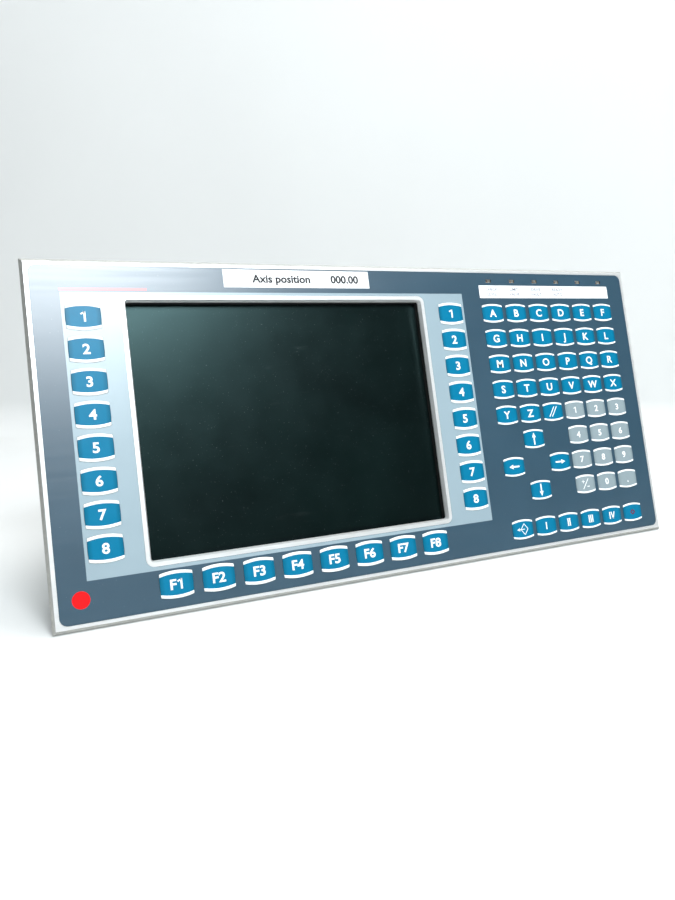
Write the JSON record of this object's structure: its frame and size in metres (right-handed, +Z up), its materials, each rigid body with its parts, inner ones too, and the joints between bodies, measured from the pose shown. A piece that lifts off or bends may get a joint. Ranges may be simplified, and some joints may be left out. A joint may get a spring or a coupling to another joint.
{
  "type": "operator panel",
  "caption": "Rack-width operator panel: front plate with a printed keypad film, rows of travelling keys, a recessed screen and a shallow rear housing.",
  "frame": {"origin": "middle of the front plate's rear face, which lies on the cabinet", "axes": "+X to the operator's right, +Y away from the operator into the cabinet, +Z up"},
  "size_m": [0.4826, 0.0616, 0.224],
  "materials": {
    "plate_aluminium": "bare milled aluminium, fine satin",
    "film_print": "slate blue printed polyester with a pale blue-grey field, fine satin",
    "spacer_foam": "dark adhesive spacer",
    "circuit_film": "amber flexible circuit",
    "dome_steel": "bright stamped steel",
    "lamp_resin": "milky lamp resin",
    "label_white": "white printed label stock",
    "seal_foam": "closed-cell foam",
    "seal_rubber": "black rubber",
    "zinc_steel": "zinc-plated steel",
    "housing_sheet": "galvanised sheet",
    "carrier_sheet": "galvanised sheet",
    "connector_plastic": "black connector plastic",
    "screen_glass": "anti-glare pane over a dark display",
    "display_shell": "display module with a steel frame",
    "board_green": "green circuit board with its components",
    "key_teal": "teal printed film, embossed white arcs",
    "key_grey": "light grey printed film, embossed white arcs"
  },
  "bodies": {
    "panel": {"display_module": "display_shell", "front_film": "film_print", "front_plate": "plate_aluminium", "key_circuit": "circuit_film", "key_spacer": "spacer_foam", "keypad_board": "board_green", "lamp_label_strip": "label_white", "machine_screws": "zinc_steel", "main_board": "board_green", "mounting_studs": "zinc_steel", "panel_seal": "seal_foam", "position_label": "label_white", "power_board": "board_green", "rear_connectors": "connector_plastic", "rear_cover": "housing_sheet", "rear_housing": "housing_sheet", "screen_carrier": "carrier_sheet", "screen_seal": "seal_rubber", "snap_domes": "dome_steel", "status_lamps": "lamp_resin", "threaded_pillars": "zinc_steel", "touch_screen": "screen_glass"},
    "arrow_key_down": {"arrow_key_down": "key_teal"},
    "arrow_key_left": {"arrow_key_left": "key_teal"},
    "arrow_key_right": {"arrow_key_right": "key_teal"},
    "arrow_key_up": {"arrow_key_up": "key_teal"},
    "function_key_1": {"function_key_1": "key_teal"},
    "function_key_2": {"function_key_2": "key_teal"},
    "function_key_3": {"function_key_3": "key_teal"},
    "function_key_4": {"function_key_4": "key_teal"},
    "function_key_5": {"function_key_5": "key_teal"},
    "function_key_6": {"function_key_6": "key_teal"},
    "function_key_7": {"function_key_7": "key_teal"},
    "function_key_8": {"function_key_8": "key_teal"},
    "left_softkey_1": {"left_softkey_1": "key_teal"},
    "left_softkey_2": {"left_softkey_2": "key_teal"},
    "left_softkey_3": {"left_softkey_3": "key_teal"},
    "left_softkey_4": {"left_softkey_4": "key_teal"},
    "left_softkey_5": {"left_softkey_5": "key_teal"},
    "left_softkey_6": {"left_softkey_6": "key_teal"},
    "left_softkey_7": {"left_softkey_7": "key_teal"},
    "left_softkey_8": {"left_softkey_8": "key_teal"},
    "letter_keys_a_to_f": {"letter_keys_a_to_f": "key_teal"},
    "letter_keys_g_to_l": {"letter_keys_g_to_l": "key_teal"},
    "letter_keys_m_to_r": {"letter_keys_m_to_r": "key_teal"},
    "letter_keys_s_to_x": {"letter_keys_s_to_x": "key_teal"},
    "letter_keys_y_to_slash": {"letter_keys_y_to_slash": "key_teal"},
    "number_keys_1_to_3": {"number_keys_1_to_3": "key_grey"},
    "number_keys_4_to_6": {"number_keys_4_to_6": "key_grey"},
    "number_keys_7_to_9": {"number_keys_7_to_9": "key_grey"},
    "number_keys_zero_row": {"number_keys_zero_row": "key_grey"},
    "right_softkey_1": {"right_softkey_1": "key_teal"},
    "right_softkey_2": {"right_softkey_2": "key_teal"},
    "right_softkey_3": {"right_softkey_3": "key_teal"},
    "right_softkey_4": {"right_softkey_4": "key_teal"},
    "right_softkey_5": {"right_softkey_5": "key_teal"},
    "right_softkey_6": {"right_softkey_6": "key_teal"},
    "right_softkey_7": {"right_softkey_7": "key_teal"},
    "right_softkey_8": {"right_softkey_8": "key_teal"},
    "special_keys": {"special_keys": "key_teal"}
  },
  "joints": [
    {"name": "arrow_key_down_press", "type": "slide", "parent": "panel", "child": "arrow_key_down", "axis": [0, 1, 0], "range_m": [0, 0.0005], "stiffness_N_per_m": 6000},
    {"name": "arrow_key_left_press", "type": "slide", "parent": "panel", "child": "arrow_key_left", "axis": [0, 1, 0], "range_m": [0, 0.0005], "stiffness_N_per_m": 6000},
    {"name": "arrow_key_right_press", "type": "slide", "parent": "panel", "child": "arrow_key_right", "axis": [0, 1, 0], "range_m": [0, 0.0005], "stiffness_N_per_m": 6000},
    {"name": "arrow_key_up_press", "type": "slide", "parent": "panel", "child": "arrow_key_up", "axis": [0, 1, 0], "range_m": [0, 0.0005], "stiffness_N_per_m": 6000},
    {"name": "function_key_1_press", "type": "slide", "parent": "panel", "child": "function_key_1", "axis": [0, 1, 0], "range_m": [0, 0.0005], "stiffness_N_per_m": 6000},
    {"name": "function_key_2_press", "type": "slide", "parent": "panel", "child": "function_key_2", "axis": [0, 1, 0], "range_m": [0, 0.0005], "stiffness_N_per_m": 6000},
    {"name": "function_key_3_press", "type": "slide", "parent": "panel", "child": "function_key_3", "axis": [0, 1, 0], "range_m": [0, 0.0005], "stiffness_N_per_m": 6000},
    {"name": "function_key_4_press", "type": "slide", "parent": "panel", "child": "function_key_4", "axis": [0, 1, 0], "range_m": [0, 0.0005], "stiffness_N_per_m": 6000},
    {"name": "function_key_5_press", "type": "slide", "parent": "panel", "child": "function_key_5", "axis": [0, 1, 0], "range_m": [0, 0.0005], "stiffness_N_per_m": 6000},
    {"name": "function_key_6_press", "type": "slide", "parent": "panel", "child": "function_key_6", "axis": [0, 1, 0], "range_m": [0, 0.0005], "stiffness_N_per_m": 6000},
    {"name": "function_key_7_press", "type": "slide", "parent": "panel", "child": "function_key_7", "axis": [0, 1, 0], "range_m": [0, 0.0005], "stiffness_N_per_m": 6000},
    {"name": "function_key_8_press", "type": "slide", "parent": "panel", "child": "function_key_8", "axis": [0, 1, 0], "range_m": [0, 0.0005], "stiffness_N_per_m": 6000},
    {"name": "left_softkey_1_press", "type": "slide", "parent": "panel", "child": "left_softkey_1", "axis": [0, 1, 0], "range_m": [0, 0.0005], "stiffness_N_per_m": 6000},
    {"name": "left_softkey_2_press", "type": "slide", "parent": "panel", "child": "left_softkey_2", "axis": [0, 1, 0], "range_m": [0, 0.0005], "stiffness_N_per_m": 6000},
    {"name": "left_softkey_3_press", "type": "slide", "parent": "panel", "child": "left_softkey_3", "axis": [0, 1, 0], "range_m": [0, 0.0005], "stiffness_N_per_m": 6000},
    {"name": "left_softkey_4_press", "type": "slide", "parent": "panel", "child": "left_softkey_4", "axis": [0, 1, 0], "range_m": [0, 0.0005], "stiffness_N_per_m": 6000},
    {"name": "left_softkey_5_press", "type": "slide", "parent": "panel", "child": "left_softkey_5", "axis": [0, 1, 0], "range_m": [0, 0.0005], "stiffness_N_per_m": 6000},
    {"name": "left_softkey_6_press", "type": "slide", "parent": "panel", "child": "left_softkey_6", "axis": [0, 1, 0], "range_m": [0, 0.0005], "stiffness_N_per_m": 6000},
    {"name": "left_softkey_7_press", "type": "slide", "parent": "panel", "child": "left_softkey_7", "axis": [0, 1, 0], "range_m": [0, 0.0005], "stiffness_N_per_m": 6000},
    {"name": "left_softkey_8_press", "type": "slide", "parent": "panel", "child": "left_softkey_8", "axis": [0, 1, 0], "range_m": [0, 0.0005], "stiffness_N_per_m": 6000},
    {"name": "letter_keys_a_to_f_press", "type": "slide", "parent": "panel", "child": "letter_keys_a_to_f", "axis": [0, 1, 0], "range_m": [0, 0.0005], "stiffness_N_per_m": 6000},
    {"name": "letter_keys_g_to_l_press", "type": "slide", "parent": "panel", "child": "letter_keys_g_to_l", "axis": [0, 1, 0], "range_m": [0, 0.0005], "stiffness_N_per_m": 6000},
    {"name": "letter_keys_m_to_r_press", "type": "slide", "parent": "panel", "child": "letter_keys_m_to_r", "axis": [0, 1, 0], "range_m": [0, 0.0005], "stiffness_N_per_m": 6000},
    {"name": "letter_keys_s_to_x_press", "type": "slide", "parent": "panel", "child": "letter_keys_s_to_x", "axis": [0, 1, 0], "range_m": [0, 0.0005], "stiffness_N_per_m": 6000},
    {"name": "letter_keys_y_to_slash_press", "type": "slide", "parent": "panel", "child": "letter_keys_y_to_slash", "axis": [0, 1, 0], "range_m": [0, 0.0005], "stiffness_N_per_m": 6000},
    {"name": "number_keys_1_to_3_press", "type": "slide", "parent": "panel", "child": "number_keys_1_to_3", "axis": [0, 1, 0], "range_m": [0, 0.0005], "stiffness_N_per_m": 6000},
    {"name": "number_keys_4_to_6_press", "type": "slide", "parent": "panel", "child": "number_keys_4_to_6", "axis": [0, 1, 0], "range_m": [0, 0.0005], "stiffness_N_per_m": 6000},
    {"name": "number_keys_7_to_9_press", "type": "slide", "parent": "panel", "child": "number_keys_7_to_9", "axis": [0, 1, 0], "range_m": [0, 0.0005], "stiffness_N_per_m": 6000},
    {"name": "number_keys_zero_row_press", "type": "slide", "parent": "panel", "child": "number_keys_zero_row", "axis": [0, 1, 0], "range_m": [0, 0.0005], "stiffness_N_per_m": 6000},
    {"name": "right_softkey_1_press", "type": "slide", "parent": "panel", "child": "right_softkey_1", "axis": [0, 1, 0], "range_m": [0, 0.0005], "stiffness_N_per_m": 6000},
    {"name": "right_softkey_2_press", "type": "slide", "parent": "panel", "child": "right_softkey_2", "axis": [0, 1, 0], "range_m": [0, 0.0005], "stiffness_N_per_m": 6000},
    {"name": "right_softkey_3_press", "type": "slide", "parent": "panel", "child": "right_softkey_3", "axis": [0, 1, 0], "range_m": [0, 0.0005], "stiffness_N_per_m": 6000},
    {"name": "right_softkey_4_press", "type": "slide", "parent": "panel", "child": "right_softkey_4", "axis": [0, 1, 0], "range_m": [0, 0.0005], "stiffness_N_per_m": 6000},
    {"name": "right_softkey_5_press", "type": "slide", "parent": "panel", "child": "right_softkey_5", "axis": [0, 1, 0], "range_m": [0, 0.0005], "stiffness_N_per_m": 6000},
    {"name": "right_softkey_6_press", "type": "slide", "parent": "panel", "child": "right_softkey_6", "axis": [0, 1, 0], "range_m": [0, 0.0005], "stiffness_N_per_m": 6000},
    {"name": "right_softkey_7_press", "type": "slide", "parent": "panel", "child": "right_softkey_7", "axis": [0, 1, 0], "range_m": [0, 0.0005], "stiffness_N_per_m": 6000},
    {"name": "right_softkey_8_press", "type": "slide", "parent": "panel", "child": "right_softkey_8", "axis": [0, 1, 0], "range_m": [0, 0.0005], "stiffness_N_per_m": 6000},
    {"name": "special_keys_press", "type": "slide", "parent": "panel", "child": "special_keys", "axis": [0, 1, 0], "range_m": [0, 0.0005], "stiffness_N_per_m": 6000}
  ]
}
